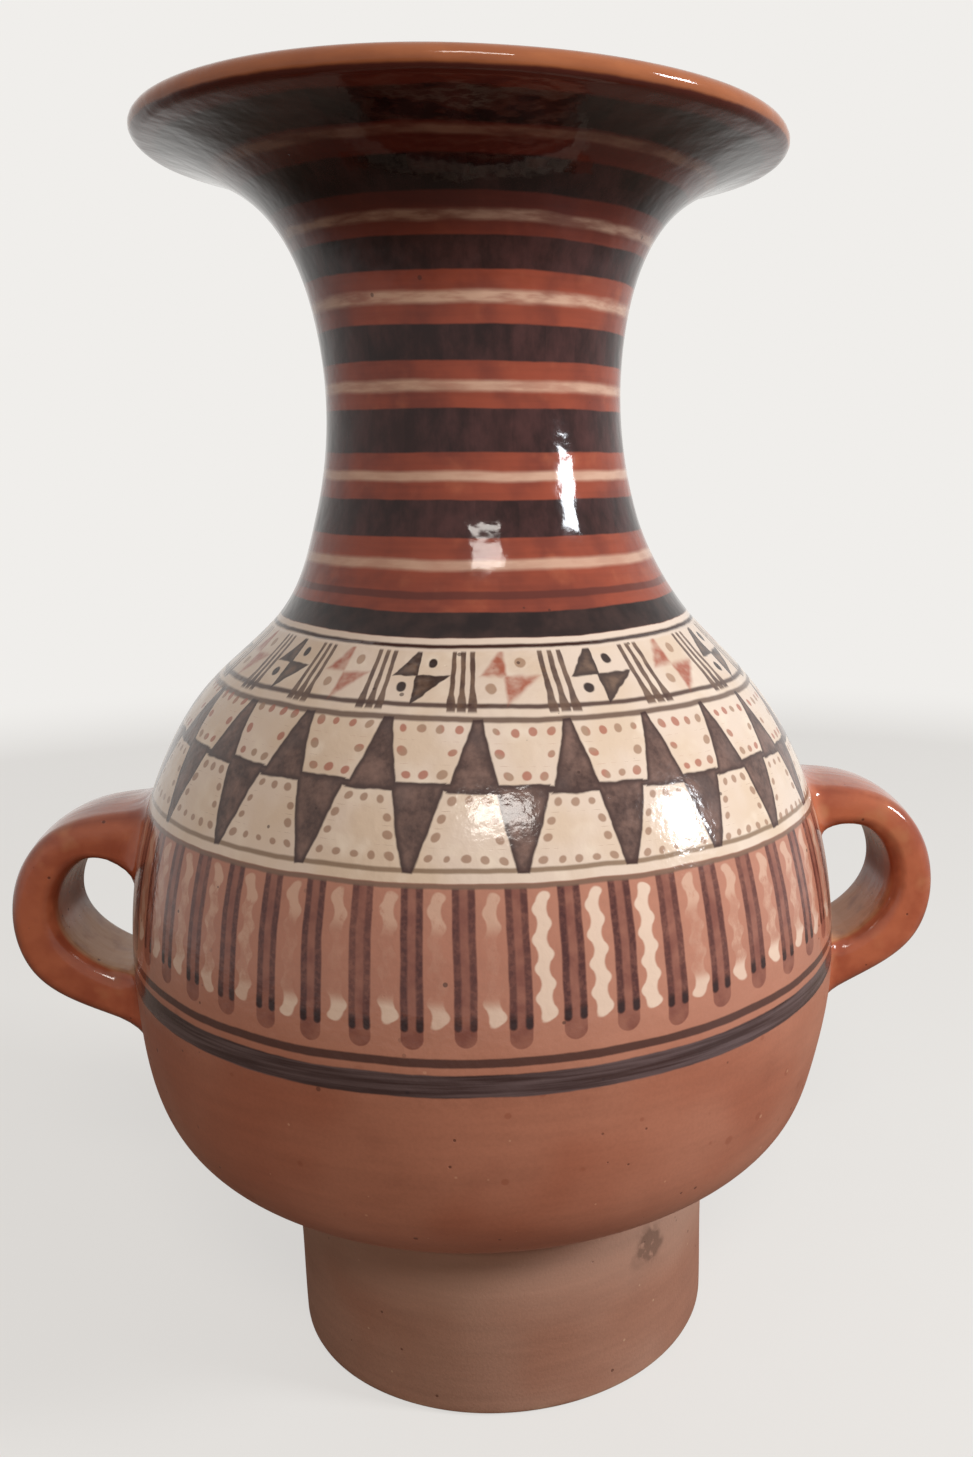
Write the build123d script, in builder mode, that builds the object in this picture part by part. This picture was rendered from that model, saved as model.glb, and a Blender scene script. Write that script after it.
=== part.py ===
"""Aryballos: a fired clay jar with a tall flared neck, two strap handles and a hollow ring foot.

The jar is built from six thrown or pulled pieces that are luted together before firing:
foot ring, lower bowl, shoulder, neck and two handles. The origin is the centre of the
resting ring, +Z is up, the handles lie along X and the front faces -Y. Millimetres.
"""

import os

from build123d import *

# Hollow ring foot
foot_height = 58.0
foot_base_radius = 63.6
foot_top_radius = 63.2
foot_wall = 9.0
foot_edge_round = 2.5

# Belly: radii from the axis, rises above the foot and above the widest circle
belly_radius = 100.2
belly_rise = 60.0
haunch_inset = 8.2
haunch_rise = 18.5
shoulder_inset = 7.7
shoulder_rise = 48.0
slope_inset = 27.2
slope_rise = 81.5
belly_wall = 7.0
floor_sag = 9.0
floor_thickness = 8.0
bowl_spread = (1.0, 0.42)

# Neck: radii from the axis, rises above its seat on the shoulder
neck_seat_radius = 56.6
neck_seat_rise = 97.0
neck_seat_width = 8.0
neck_lean = (-1.0, 1.05)
nape_radius = 41.9
nape_rise = 28.0
throat_radius = 38.6
throat_rise = 68.0
flare_radius = 50.4
flare_rise = 97.0
neck_height = 114.0
neck_wall = 5.5

# Mouth
lip_radius = 78.3
lip_thickness = 5.0
lip_slope = 0.22

# Luted joints: a tongue in a rebate, with room for the slip
belly_tongue = 5.0
neck_tongue = 4.5
lute = 0.3

# Strap handles, seen from the front: rises above the widest circle, and how far they stand out
handle_width = 32.0
handle_strap = 12.5
handle_stand_left = 31.1
handle_stand_right = 29.0
handle_lift_left = -1.5
handle_lift_right = 1.5
handle_swell_left = 8.0
handle_swell_right = 1.0
handle_top_rise = 49.5
handle_middle_rise = 21.5
handle_toe_drop = 14.5
handle_toe_stand = 1.5
brow_inset = 12.5
brow_drop = 6.0
heel_inset = 3.8
heel_drop = 19.5
loop_top_rise = 36.0
loop_top_stand = 8.0
loop_bottom_rise = 2.5
loop_bottom_stand = 3.5
loop_droop = 1.5
root_depth = 14.0
root_fall = 14.0
handle_round = 4.5

# Heights and radii that follow from the sizes above
belly_height = foot_height + belly_rise
neck_seat_height = belly_height + neck_seat_rise
lip_height = neck_seat_height + neck_height
foot_bore_top = foot_top_radius - foot_wall
foot_bore_base = foot_base_radius - foot_wall
under_floor = foot_height - floor_sag
inner_belly_radius = belly_radius - belly_wall
seam_radius = belly_radius - belly_wall / 2
tongue_top = belly_height + belly_tongue
neck_bore_seat = neck_seat_radius - neck_seat_width
neck_opening = neck_seat_radius - neck_seat_width / 2
lip_edge_radius = lip_radius - lip_thickness / 2


def bowl_curve():
    """Outer curve of the bowl, from the foot's edge up to the widest circle."""
    return Spline(
        (foot_top_radius, foot_height),
        (belly_radius - haunch_inset, foot_height + haunch_rise),
        (belly_radius, belly_height),
        tangents=[bowl_spread, (0.0, 1.0)],
    )


def shoulder_curve():
    """Outer curve of the shoulder, from the widest circle up to the neck's seat."""
    return Spline(
        (belly_radius, belly_height),
        (belly_radius - shoulder_inset, belly_height + shoulder_rise),
        (belly_radius - slope_inset, belly_height + slope_rise),
        (neck_seat_radius, neck_seat_height),
        tangents=[(0.0, 1.0), neck_lean],
    )


def inside(curve, share, wall):
    """Point of the inner face, one wall square in from a share of the outer curve's length."""
    run = curve % share
    return curve @ share + Vector(-run.Y, run.X) * wall


# Foot: a thrown ring with a rounded resting edge
with BuildPart() as foot_ring:
    with BuildSketch(Plane.XZ):
        with BuildLine():
            Polyline(
                (foot_bore_base, 0.0),
                (foot_base_radius, 0.0),
                (foot_top_radius, foot_height),
                (foot_bore_top, foot_height),
                close=True,
            )
        ring_section = make_face()
        fillet(ring_section.vertices().group_by(Axis.Y)[0], radius=foot_edge_round)
    revolve(axis=Axis.Z)
foot_ring.part.label = "foot_ring"

# Lower bowl: its floor sags inside the foot, its rim carries a tongue for the shoulder
with BuildPart() as lower_bowl:
    with BuildSketch(Plane.XZ):
        with BuildLine():
            outer = bowl_curve()
            rim = Polyline(
                outer @ 1,
                (seam_radius - lute, belly_height),
                (seam_radius - lute, tongue_top - lute),
                (inner_belly_radius, tongue_top - lute),
                (inner_belly_radius, belly_height),
            )
            inner = Spline(
                rim @ 1,
                inside(outer, 0.65, belly_wall),
                inside(outer, 0.3, belly_wall),
                inside(outer, 0.0, belly_wall),
                (0.0, under_floor + floor_thickness),
                tangents=[(0.0, -1.0), (-1.0, 0.0)],
            )
            centre = Line(inner @ 1, (0.0, under_floor))
            under = TangentArc(centre @ 1, (foot_bore_top, foot_height), tangent=(1.0, 0.0))
            Line(under @ 1, outer @ 0)
        make_face()
    revolve(axis=Axis.Z)
lower_bowl.part.label = "lower_bowl"

# Shoulder: the closing half of the belly, rebated over the bowl's tongue
with BuildPart() as shoulder:
    with BuildSketch(Plane.XZ):
        with BuildLine():
            outer = shoulder_curve()
            seat = Polyline(
                outer @ 1,
                (neck_opening, neck_seat_height),
                (neck_opening, neck_seat_height - neck_tongue - lute),
            )
            inner = Spline(
                seat @ 1,
                inside(outer, 0.7, belly_wall),
                inside(outer, 0.4, belly_wall),
                (inner_belly_radius, tongue_top),
                tangents=[(-neck_lean[0], -neck_lean[1]), (0.0, -1.0)],
            )
            Polyline(
                inner @ 1,
                (seam_radius, tongue_top),
                (seam_radius, belly_height),
                outer @ 0,
            )
        make_face()
    revolve(axis=Axis.Z)
shoulder.part.label = "shoulder"

# Neck: seated on the shoulder, drawn in to a throat and thrown out to a thin flat lip
with BuildPart() as neck:
    with BuildSketch(Plane.XZ):
        with BuildLine():
            outer = Spline(
                (neck_seat_radius, neck_seat_height),
                (nape_radius, neck_seat_height + nape_rise),
                (throat_radius, neck_seat_height + throat_rise),
                (flare_radius, neck_seat_height + flare_rise),
                (lip_edge_radius, lip_height - lip_thickness),
                tangents=[neck_lean, (1.0, lip_slope)],
            )
            lip = ThreePointArc(
                outer @ 1,
                (lip_radius, lip_height - lip_thickness / 2),
                (lip_edge_radius, lip_height),
            )
            inner = Spline(
                lip @ 1,
                inside(outer, 0.8, neck_wall),
                inside(outer, 0.5, neck_wall),
                inside(outer, 0.25, neck_wall),
                (neck_bore_seat, neck_seat_height),
                tangents=[(-1.0, -lip_slope), (-neck_lean[0], -neck_lean[1])],
            )
            Polyline(
                inner @ 1,
                (neck_bore_seat, neck_seat_height - neck_tongue),
                (neck_opening - lute, neck_seat_height - neck_tongue),
                (neck_opening - lute, neck_seat_height),
                outer @ 0,
            )
        make_face()
    revolve(axis=Axis.Z)
neck.part.label = "neck"


def strap_handle(side, stand, lift, swell):
    """Strap handle of one side: a bent slab with rounded edges, its roots cut to the belly."""
    reach = belly_radius + stand
    root = belly_radius - root_depth
    base = belly_height + lift
    top = base + handle_top_rise
    middle = base + handle_middle_rise
    toe = base - handle_toe_drop
    loop_top = base + loop_top_rise
    loop_bottom = base + loop_bottom_rise
    with BuildPart() as handle:
        with BuildSketch(Plane.XZ):
            with BuildLine():
                outside = Spline(
                    (side * root, top),
                    (side * (reach - brow_inset), top - brow_drop),
                    (side * reach, middle),
                    (side * (reach - heel_inset), middle - heel_drop),
                    (side * (belly_radius + handle_toe_stand), toe),
                    (side * root, toe - root_fall),
                    tangents=[(side, 0.0), (side * -0.6, -1.0)],
                )
                inside_edge = Spline(
                    (side * root, loop_bottom - handle_round),
                    (side * (belly_radius + loop_bottom_stand), loop_bottom),
                    (side * (reach - handle_strap), middle - loop_droop),
                    (side * (belly_radius + loop_top_stand), loop_top),
                    (side * root, loop_top - swell),
                    tangents=[(side, 0.25), (-side, 0.0)],
                )
                Line(outside @ 0, inside_edge @ 1)
                Line(outside @ 1, inside_edge @ 0)
            make_face()
        extrude(amount=handle_width / 2, both=True)
        flat_sides = handle.faces().filter_by(Axis.Y)
        fillet(flat_sides.edges().filter_by(GeomType.BSPLINE), radius=handle_round)
        skins = (
            (bowl_curve, foot_height, belly_height),
            (shoulder_curve, belly_height, neck_seat_height),
        )
        for curve, low, high in skins:
            with BuildSketch(Plane.YZ):
                with BuildLine():
                    skin = curve()
                    Polyline(skin @ 1, (0.0, high), (0.0, low), skin @ 0)
                make_face()
            revolve(axis=Axis.Z, mode=Mode.SUBTRACT)
    return handle.part


left_handle = strap_handle(-1, handle_stand_left, handle_lift_left, handle_swell_left)
left_handle.label = "left_handle"
right_handle = strap_handle(1, handle_stand_right, handle_lift_right, handle_swell_right)
right_handle.label = "right_handle"

os.makedirs("parts", exist_ok=True)
export_step(foot_ring.part, "parts/foot_ring.step")
export_step(lower_bowl.part, "parts/lower_bowl.step")
export_step(shoulder.part, "parts/shoulder.step")
export_step(neck.part, "parts/neck.step")
export_step(left_handle, "parts/left_handle.step")
export_step(right_handle, "parts/right_handle.step")
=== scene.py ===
import math
import bpy
import numpy as np
from mathutils import Matrix, Vector
from mathutils.bvhtree import BVHTree


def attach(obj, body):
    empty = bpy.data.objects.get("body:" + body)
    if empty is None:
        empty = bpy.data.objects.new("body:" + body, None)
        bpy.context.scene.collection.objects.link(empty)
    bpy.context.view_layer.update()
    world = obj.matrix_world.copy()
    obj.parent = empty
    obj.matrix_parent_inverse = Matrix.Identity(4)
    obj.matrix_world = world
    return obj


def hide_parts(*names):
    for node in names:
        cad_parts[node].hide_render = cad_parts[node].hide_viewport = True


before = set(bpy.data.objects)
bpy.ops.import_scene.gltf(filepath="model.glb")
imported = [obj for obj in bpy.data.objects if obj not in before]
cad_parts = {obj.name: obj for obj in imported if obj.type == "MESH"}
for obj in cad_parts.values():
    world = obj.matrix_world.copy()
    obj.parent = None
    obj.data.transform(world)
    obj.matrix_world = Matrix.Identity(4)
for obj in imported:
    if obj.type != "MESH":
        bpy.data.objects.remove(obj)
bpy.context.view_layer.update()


# Foot ring: a thrown hollow ring of coarse tan clay, left bare. It is luted under the bowl
# with a small roll of slip, and its wall and resting edge are rubbed smooth by hand. The
# wheel that turns it, further down, turns the other thrown pieces as well.

MM = 0.001
foot_height = 58.0
foot_bore = 54.3
foot_radius = 63.3
foot_spread = 0.3
foot_corner = 2.5
slip_roll = 5.2

turns = 240
unevenness = 0.006
settling = 0.0016
sway_by = 1.4
flatten_by = 1.8
flank_height, flank_reach = 92.0, 26.0
nape_height, nape_reach = 218.0, 24.0
sway_starts, sway_full = 68.0, 46.0
axis_zone = 0.05
seam_gap = 1e-5
least_step = 0.02
sharp_angle = 50.0
put_in_scene = bpy.context.scene.collection.objects.link


class Wash:
    """A value, vector or colour in a node tree, so that sums are written as sums."""

    def __init__(self, tree, socket):
        self.tree = tree
        self.socket = socket

    def __getitem__(self, key):
        return Wash(self.tree, self.socket.node.outputs[key])

    def node(self, kind, sockets=None, out=0, **settings):
        """Any node, with what goes into its sockets, by name or number, and its settings."""
        made = self.tree.nodes.new(kind)
        for name, value in settings.items():
            setattr(made, name, value)
        for key, value in (sockets or {}).items():
            if isinstance(value, Wash):
                self.tree.links.new(value.socket, made.inputs[key])
            else:
                made.inputs[key].default_value = value
        return Wash(self.tree, made.outputs[out])

    def sum(self, operation, *values):
        """One step of arithmetic."""
        return self.node("ShaderNodeMath", dict(enumerate(values)), operation=operation)

    def __add__(self, other):
        return self.sum("ADD", self, other)

    __radd__ = __add__

    def __sub__(self, other):
        return self.sum("SUBTRACT", self, other)

    def __rsub__(self, other):
        return self.sum("SUBTRACT", other, self)

    def __mul__(self, other):
        return self.sum("MULTIPLY", self, other)

    def __truediv__(self, other):
        return self.sum("DIVIDE", self, other)

    def __neg__(self):
        return self.sum("MULTIPLY", self, -1.0)

    def size(self):
        return self.sum("ABSOLUTE", self)

    def floor(self):
        return self.sum("FLOOR", self)

    def nearest(self):
        return self.sum("ROUND", self)

    def least(self, other):
        return self.sum("MINIMUM", self, other)

    def most(self, other):
        return self.sum("MAXIMUM", self, other)

    def within(self, low, high):
        return self.most(low).least(high)

    def away(self, other):
        """How far off a point is, from how far across and how far up."""
        return self.sum("SQRT", self * self + other * other)

    def rise(self, start, end, low=0.0, high=1.0):
        """Goes from low to high as the value goes from start to end, and stays there."""
        return self.node("ShaderNodeMapRange", {0: self, 1: start, 2: end, 3: low, 4: high},
                         interpolation_type="SMOOTHSTEP")

    def hump(self, middle, reach):
        """One at the middle, nothing beyond reach either side."""
        return (self - middle).size().rise(reach, 0.0)


def throwing_wheel():
    """The wheel: turns a drawn profile (radius in X, height in Z) round the jar's axis.

    A thrown jar isn't quite even: it gets soft lumps, a flatter right flank, and a slight
    sway to the right at the nape and in the foot.
    """
    tree = bpy.data.node_groups.new("throwing wheel", "GeometryNodeTree")
    tree.is_modifier = True
    sockets = (("Profile", "Geometry"), ("Turns", "Int"), ("Unevenness", "Float"),
               ("Drop", "Float"), ("Sway", "Float"), ("Flank", "Float"), ("Clay", "Material"))
    for label, kind in sockets:
        tree.interface.new_socket(label, in_out="INPUT", socket_type="NodeSocket" + kind)
    tree.interface.new_socket("Pot", in_out="OUTPUT", socket_type="NodeSocketGeometry")
    given = Wash(tree, tree.nodes.new("NodeGroupInput").outputs[0])
    rows = given.node("GeometryNodeAttributeDomainSize", {0: given}, component="MESH")
    grid = given.node("GeometryNodeMeshGrid",
                      {"Vertices X": given["Turns"] + 1.0, "Vertices Y": rows})
    index = given.node("GeometryNodeInputIndex")
    row = given.sum("FLOORED_MODULO", index, rows)
    turn = (index / rows).floor() / given["Turns"] * math.tau
    position = given.node("GeometryNodeInputPosition")
    drawn = given.node("GeometryNodeSampleIndex",
                       {"Geometry": given, "Value": position, "Index": row},
                       data_type="FLOAT_VECTOR", domain="POINT")
    place = given.node("ShaderNodeSeparateXYZ", {0: drawn})
    side = given.sum("SINE", turn)
    front = given.sum("COSINE", turn)
    high = place["Z"] / MM
    right = side.most(0.0)
    flank = high.hump(flank_height, flank_reach) * right * right * given["Flank"]
    radius = place["X"] - flank * place["X"].rise(0.0, axis_zone)
    at = given.node("ShaderNodeCombineXYZ",
                    {"X": radius * side, "Y": -(radius * front), "Z": place["Z"]})
    lump = given.node("ShaderNodeTexNoise", {"Vector": at, "Scale": 14.0, "Detail": 1.0})
    press = 1.0 - lump * given["Unevenness"]
    nape = high.hump(nape_height, nape_reach) * 0.9
    lean = given["Sway"] * (nape + high.rise(sway_starts, sway_full))
    pressed = given.node("ShaderNodeCombineXYZ",
                         {"X": radius * side * press + lean, "Y": -(radius * front * press),
                          "Z": place["Z"] * (1.0 - lump * given["Drop"])})
    pot = given.node("GeometryNodeSetPosition", {"Geometry": grid, "Position": pressed})
    mark = given.node("GeometryNodeInputNamedAttribute", {0: "inside"}, data_type="FLOAT")
    mark = given.node("GeometryNodeSampleIndex", {"Geometry": given, "Value": mark, "Index": row},
                      data_type="FLOAT", domain="POINT")
    pot = given.node("GeometryNodeStoreNamedAttribute",
                     {"Geometry": pot, "Name": "inside", "Value": mark},
                     data_type="FLOAT", domain="POINT")
    pot = given.node("GeometryNodeMergeByDistance", {"Geometry": pot, "Distance": seam_gap})
    pot = given.node("GeometryNodeSetShadeSmooth", {"Geometry": pot})
    pot = given.node("GeometryNodeRealizeInstances", {"Geometry": pot})
    pot = given.node("GeometryNodeSetMaterial", {"Geometry": pot, "Material": given["Clay"]})
    out = tree.nodes.new("NodeGroupOutput")
    tree.links.new(pot.socket, out.inputs[0])
    return tree


wheel = throwing_wheel()


def smooth_line(knots, start=None, end=None, step=1.6):
    """Points every step mm along one smooth line through the knots, with end directions.

    The slopes at the knots are solved for so that the bend nowhere jumps. An end with no
    direction runs out straight.
    """
    p = np.array(knots, dtype=float)
    gaps = np.linalg.norm(np.diff(p, axis=0), axis=1)
    t = np.concatenate(([0.0], np.cumsum(gaps)))
    n = len(p)
    rows = np.zeros((n, n))
    want = np.zeros((n, 2))
    for i in range(1, n - 1):
        a, b = gaps[i - 1], gaps[i]
        rows[i, i - 1:i + 2] = (b, 2.0 * (a + b), a)
        want[i] = 3.0 * (b * (p[i] - p[i - 1]) / a + a * (p[i + 1] - p[i]) / b)
    for i, way, other in ((0, start, 1), (n - 1, end, -1)):
        rows[i, i] = 1.0
        if way is None:
            rows[i, i + other] = 1.0
            gap = gaps[0] if i == 0 else gaps[-1]
            want[i] = 2.0 * other * (p[i + other] - p[i]) / gap
        else:
            want[i] = np.array(way) / np.linalg.norm(way)
    slopes = np.linalg.solve(rows, want)
    count = max(2, int(round(t[-1] / step)) + 1)
    points = []
    for s in np.linspace(0.0, t[-1], count):
        i = min(int(np.searchsorted(t, s, side="right")) - 1, n - 2)
        g = gaps[i]
        u = (s - t[i]) / g
        points.append(p[i] * (1 + 2 * u) * (1 - u) ** 2 + slopes[i] * g * u * (1 - u) ** 2
                      + p[i + 1] * u * u * (3 - 2 * u) + slopes[i + 1] * g * u * u * (u - 1))
    return [tuple(q) for q in points]


def turn_on_wheel(name, outer, inner, clay):
    """The profile, in mm, outer side first, turned into a plain mesh piece on the wheel.

    Its points carry a mark, inside, that the finishes read: 1 on the inner side. The last
    point counts as outside, because a ring's profile ends on the point it starts from.
    """
    drawn = [(*q, 0.0) for q in outer] + [(*q, 1.0) for q in inner[:-1]] + [(*inner[-1], 0.0)]
    tidy = [drawn[0]]
    for q in drawn[1:]:
        if math.dist(q[:2], tidy[-1][:2]) > least_step:
            tidy.append(q)
    sketch = bpy.data.meshes.new(name + "_profile")
    sketch.from_pydata([(r * MM, 0.0, z * MM) for r, z, side in tidy],
                       [(i, i + 1) for i in range(len(tidy) - 1)], [])
    sides = sketch.attributes.new("inside", "FLOAT", "POINT")
    sides.data.foreach_set("value", [side for r, z, side in tidy])
    blank = bpy.data.objects.new(name + "_profile", sketch)
    put_in_scene(blank)
    modifier = blank.modifiers.new("wheel", "NODES")
    modifier.node_group = wheel
    amounts = {"Turns": turns, "Unevenness": unevenness, "Drop": settling,
               "Sway": sway_by * MM, "Flank": flatten_by * MM, "Clay": clay}
    for socket in wheel.interface.items_tree:
        if socket.in_out == "INPUT" and socket.name in amounts:
            modifier[socket.identifier] = amounts[socket.name]
    seen = blank.evaluated_get(bpy.context.evaluated_depsgraph_get())
    mesh = bpy.data.meshes.new_from_object(seen)
    mesh.name = name
    mesh.set_sharp_from_angle(angle=math.radians(sharp_angle))
    bpy.data.objects.remove(blank)
    piece = bpy.data.objects.new(name, mesh)
    put_in_scene(piece)
    return piece


def colour(red, green, blue):
    """A colour as seen on screen, 0 to 255, as the linear one that shaders take."""
    def linear(c):
        c = c / 255.0
        return c / 12.92 if c < 0.04045 else ((c + 0.055) / 1.055) ** 2.4

    return (linear(red), linear(green), linear(blue), 1.0)


class Finish:
    """A new surface finish: coordinates in mm, and the parts that all the clays share.

    Paints are plain colours as seen on screen, 0 to 255, or mixes of them.
    """

    def __init__(self, name, refraction=1.4):
        self.material = bpy.data.materials.new(name)
        self.material.use_nodes = True
        tree = self.material.node_tree
        self.shader = tree.nodes["Principled BSDF"]
        self.shader.inputs["IOR"].default_value = refraction
        start = Wash(tree, self.shader.outputs[0])
        local = start.node("ShaderNodeTexCoord", out="Object")
        self.at = start.node("ShaderNodeVectorMath", {0: local, "Scale": 1.0 / MM},
                             operation="SCALE")
        place = start.node("ShaderNodeSeparateXYZ", {0: self.at})
        self.x, self.y, self.z = place["X"], place["Y"], place["Z"]
        self.turn = start.sum("ARCTAN2", self.x, -self.y)
        self.degrees = self.turn * math.degrees(1.0)
        self.paint = None

    def cloud(self, span, detail=2.0, stretch=(1.0, 1.0, 1.0), shift=0.0, rough=0.5):
        """Soft variation from 0 to 1, with spots about span mm wide."""
        at = self.at
        if stretch != (1.0, 1.0, 1.0) or shift:
            at = at.node("ShaderNodeMapping",
                         {"Vector": at, "Scale": stretch, "Location": (shift, shift, shift)})
        return at.node("ShaderNodeTexNoise",
                       {"Vector": at, "Scale": 1.0 / span, "Detail": detail, "Roughness": rough})

    def sway(self, span, amount, shift=0.0):
        """An unsteady hand: wanders up to amount either way over span mm."""
        noise_gain = 2.6
        return (self.cloud(span, 1.0, shift=shift) - 0.5) * (noise_gain * amount)

    def specks(self, span, size, share, shift=0.0):
        """Small round spots of about size mm in cells of span mm, in a share of the cells."""
        at = self.at.node("ShaderNodeMapping",
                          {"Vector": self.at, "Location": (shift, shift, shift)})
        cell = at.node("ShaderNodeTexVoronoi", {"Vector": at, "Scale": 1.0 / span})
        lot = at.node("ShaderNodeSeparateColor", {0: cell["Color"]})
        grain = lot["Green"] * 0.8 + 0.6
        spot = (cell * span / grain).rise(size * 0.62, size * 0.38)
        return spot * lot["Red"].rise(share + 0.01, share)

    def over(self, below, above, mask):
        """Paint laid over what is below, as thick as the mask says."""
        a, b = (c if isinstance(c, Wash) else colour(*c) for c in (below, above))
        return self.at.node("ShaderNodeMix", {0: mask, 6: a, 7: b}, 2, data_type="RGBA")

    def coat(self, above, mask):
        """The next coat over the piece's paint so far."""
        self.paint = self.over(self.paint, above, mask)

    def deepen(self, mask):
        """The piece's paint so far, multiplied by a grey mask."""
        grey = self.at.node("ShaderNodeCombineColor", {0: mask, 1: mask, 2: mask})
        self.paint = self.at.node("ShaderNodeMix", {0: 1.0, 6: self.paint, 7: grey}, 2,
                                  data_type="RGBA", blend_type="MULTIPLY")

    def fired(self, roughness, height, depth):
        """The material: its paint, its roughness, and a relief of height times depth mm."""
        relief = self.at.node("ShaderNodeBump",
                              {"Strength": 1.0, "Distance": depth * MM, "Height": height})
        sent = {"Base Color": self.paint, "Roughness": roughness, "Normal": relief}
        for name, value in sent.items():
            self.material.node_tree.links.new(value.socket, self.shader.inputs[name])
        return self.material


def fired_clay(finish, pale, warm, dark):
    """Bare fired clay: slow warm and pale patches, wheel marks and iron specks."""
    finish.paint = finish.over(pale, warm, finish.cloud(46.0).rise(0.38, 0.68))
    finish.coat(dark, finish.cloud(21.0, 3.0, shift=40.0).rise(0.52, 0.86) * 0.35)
    streak = finish.cloud(9.0, 3.0, stretch=(0.35, 0.35, 3.2), shift=11.0).rise(0.3, 0.75)
    finish.deepen(1.05 - streak * 0.09)
    grit = finish.cloud(0.9, shift=5.0).rise(0.35, 0.7)
    finish.deepen(1.03 - grit * 0.06)


def bare_clay():
    """The foot: coarse tan clay without glaze, with a grey fingermark, glaze at its root, and
    painted light on its upper part.
    """
    finish = Finish("bare tan clay")
    fired_clay(finish, (157, 117, 98), (149, 104, 84), (124, 85, 70))
    iron = finish.specks(5.0, 0.8, 0.3)
    finish.coat((96, 58, 44), iron * 0.8)
    finish.coat((196, 160, 130), finish.specks(6.0, 0.8, 0.5, 70.0) * 0.5)
    # Painted light: the upper part of the foot is made paler towards the belly.
    finish.coat((190, 154, 134), finish.z.rise(24.0, 48.0) * 0.4)
    finger_turn, finger_height = 41.5, 43.5
    mark = finish.degrees + finish.sway(6.0, 3.4, 9.0)
    up = finish.z + finish.sway(5.0, 2.2, 21.0)
    smudge = mark.hump(finger_turn, 6.5) * up.hump(finger_height, 9.0)
    smudge = (smudge * 2.2).least(1.0) * finish.cloud(2.6).rise(0.26, 0.5)
    finish.coat((108, 80, 66), smudge * 0.75)
    edge = finish.z + finish.sway(16.0, 1.0, 3.0)
    glazed = edge.rise(54.2, 56.6)
    run = edge.hump(55.6, 2.8) * 0.5
    finish.coat((132, 74, 54), glazed)
    finish.coat((88, 46, 36), run)
    worn = finish.z.rise(3.2, 0.4) * finish.cloud(7.0, 3.0).rise(0.35, 0.7)
    finish.coat((188, 152, 126), worn * 0.6)
    roughness = 0.84 - glazed * 0.45 + finish.cloud(3.0) * 0.1
    wheel_marks = finish.cloud(14.0, stretch=(0.12, 0.12, 3.0), shift=2.0)
    grain = finish.cloud(0.8, 3.0) * 0.35 - iron * 0.5
    return finish.fired(roughness, wheel_marks + grain, 0.22)


def rounded(corner, before, after, radius):
    """A small arc in place of the corner between two straight runs."""
    c, a, b = Vector(corner), Vector(before), Vector(after)
    start = c + (a - c).normalized() * radius
    end = c + (b - c).normalized() * radius
    return [tuple(start.lerp(c, t).lerp(c.lerp(end, t), t)) for t in np.linspace(0.0, 1.0, 6)]


foot_edge = foot_radius + foot_spread
foot_low = [(foot_bore, 0.0), (foot_edge, 0.0)]
foot_root = (foot_radius, foot_height - slip_roll)
bore = smooth_line([(foot_bore, foot_height + 0.6), (foot_bore, 4.0)],
                   (0.0, -1.0), (0.0, -1.0), 4.0)
bore += rounded(foot_low[0], (foot_bore, 10.0), foot_low[1], foot_corner)
ring = rounded(foot_low[1], foot_low[0], (foot_edge, 10.0), foot_corner)
ring += smooth_line([(foot_edge, 4.0), (foot_radius - 0.1, 30.0), foot_root],
                    (0.0, 1.0), (0.0, 1.0), 2.0)
ring += smooth_line([foot_root, (foot_radius + 1.3, foot_height - 0.7),
                     (foot_radius + slip_roll, foot_height + 2.45)], (0.0, 1.0), (1.0, 0.5), 0.6)
ring += [(foot_radius + 2.0, foot_height + 2.2)]
foot = turn_on_wheel("foot", ring, bore + ring[:1], bare_clay())
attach(foot, "root")
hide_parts("foot_ring")


# Lower bowl: the widest half of the belly, thrown in terracotta clay with a sagging rounded
# floor. A thin satin glaze runs down over it and stops at the foot.

belly_height = 118.0
belly_radius = 100.2
belly_wall = 7.0
bowl_root_radius = 63.2
floor_low = 49.0
floor_high = 57.0


def belly_skin(finish):
    """Terracotta seen through thin glaze, shared by the bowl and the stripe zone's ground."""
    fired_clay(finish, (167, 108, 85), (155, 92, 69), (127, 72, 54))
    iron = finish.specks(5.0, 0.9, 0.3, 31.0)
    finish.coat((88, 46, 34), iron * 0.75)
    rust = finish.specks(8.0, 1.9, 0.4, 63.0)
    finish.coat((132, 66, 44), rust * 0.4)
    finish.coat((206, 156, 126), finish.specks(6.5, 0.8, 0.5, 90.0) * 0.5)
    return iron


def satin_glaze():
    """The bowl: thin glaze, its lower curve darkened by painted shade, and glaze gathered dark at
    the foot.
    """
    finish = Finish("satin terracotta glaze")
    iron = belly_skin(finish)
    low = finish.z + finish.sway(26.0, 2.0)
    # Painted shade: the lower curve of the bowl darkens towards the foot.
    finish.coat((140, 80, 60), low.rise(86.0, 64.0) * 0.5)
    # A darker band where the glaze gathered at the foot.
    finish.coat((104, 52, 40), low.rise(66.0, 58.5) * 0.7)
    marks = finish.cloud(20.0, stretch=(0.1, 0.1, 2.4), shift=2.0)
    skin = finish.cloud(2.6) * 0.3 - iron * 0.5
    return finish.fired(0.36 + finish.cloud(12.0) * 0.14, marks + skin, 0.16)


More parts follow.
